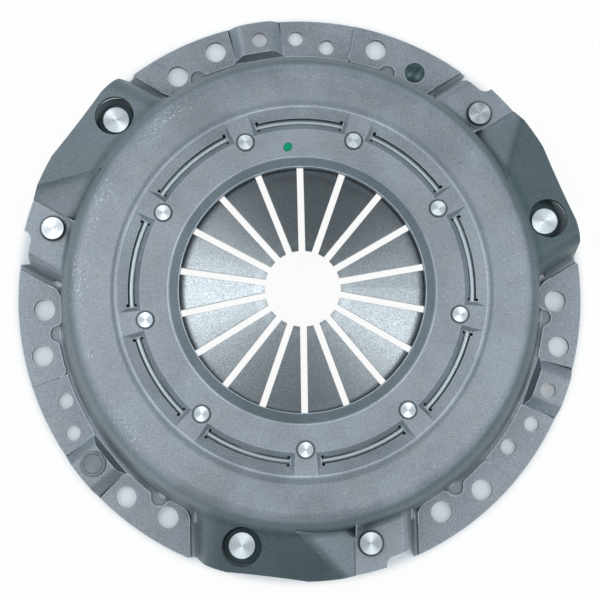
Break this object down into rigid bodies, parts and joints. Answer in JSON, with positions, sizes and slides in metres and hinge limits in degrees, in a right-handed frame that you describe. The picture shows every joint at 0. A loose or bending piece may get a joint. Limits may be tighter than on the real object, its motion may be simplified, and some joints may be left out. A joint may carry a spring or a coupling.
{
  "type": "diaphragm spring clutch cover assembly",
  "caption": "Push type clutch pressure plate: pressed steel cover on a cast iron plate, with a slotted diaphragm spring and leaf straps.",
  "frame": {"origin": "centre of the flange's mounting plane, on the clutch axis", "axes": "+Z along the clutch axis, away from the flywheel towards the gearbox; a strap bay's middle line lies at 30 degrees from +X"},
  "size_m": [0.3, 0.2983, 0.0474],
  "materials": {
    "cover_steel": "grey phosphated pressed steel, satin",
    "cast_iron": "cast back, ground friction face",
    "spring_steel": "shot peened spring steel",
    "ring_wire": "drawn round wire",
    "rivet_steel": "bright zinc plated, orbitally riveted heads",
    "strap_steel": "rolled spring strip",
    "dark_rivet": "blackened steel",
    "grey_rivet": "grey phosphated steel"
  },
  "bodies": {
    "cover_body": {"cover": "cover_steel", "upper_pivot_ring": "ring_wire", "lower_pivot_ring": "ring_wire", "balance_rivet_domed": "dark_rivet", "balance_rivet_flat": "grey_rivet", "spacer_rivet_1": "rivet_steel", "spacer_rivet_2": "rivet_steel", "spacer_rivet_3": "rivet_steel", "spacer_rivet_4": "rivet_steel", "spacer_rivet_5": "rivet_steel", "spacer_rivet_6": "rivet_steel", "spacer_rivet_7": "rivet_steel", "spacer_rivet_8": "rivet_steel", "spacer_rivet_9": "rivet_steel", "cover_strap_rivet_1": "rivet_steel", "cover_strap_rivet_2": "rivet_steel", "cover_strap_rivet_3": "rivet_steel", "strap_1_leaf_1": "strap_steel", "strap_1_leaf_2": "strap_steel", "strap_1_leaf_3": "strap_steel", "strap_2_leaf_1": "strap_steel", "strap_2_leaf_2": "strap_steel", "strap_2_leaf_3": "strap_steel", "strap_3_leaf_1": "strap_steel", "strap_3_leaf_2": "strap_steel", "strap_3_leaf_3": "strap_steel"},
    "plate_body": {"pressure_plate": "cast_iron", "plate_strap_rivet_1": "rivet_steel", "plate_strap_rivet_2": "rivet_steel", "plate_strap_rivet_3": "rivet_steel"},
    "diaphragm_body": {"diaphragm_spring": "spring_steel"}
  },
  "joints": [
    {"name": "plate_lift", "type": "slide", "parent": "cover_body", "child": "plate_body", "axis": [0, 0, 1], "range_m": [0, 0.0032], "stiffness_N_per_m": 20000, "deforming": ["strap_1_leaf_1", "strap_1_leaf_2", "strap_1_leaf_3", "strap_2_leaf_1", "strap_2_leaf_2", "strap_2_leaf_3", "strap_3_leaf_1", "strap_3_leaf_2", "strap_3_leaf_3"]},
    {"name": "finger_release", "type": "slide", "parent": "cover_body", "child": "diaphragm_body", "axis": [0, 0, -1], "range_m": [0, 0.0109], "deforming": ["diaphragm_spring"]}
  ],
  "couplings": [
    {"joint": "finger_release", "follows": "plate_lift", "ratio": 3.4}
  ]
}
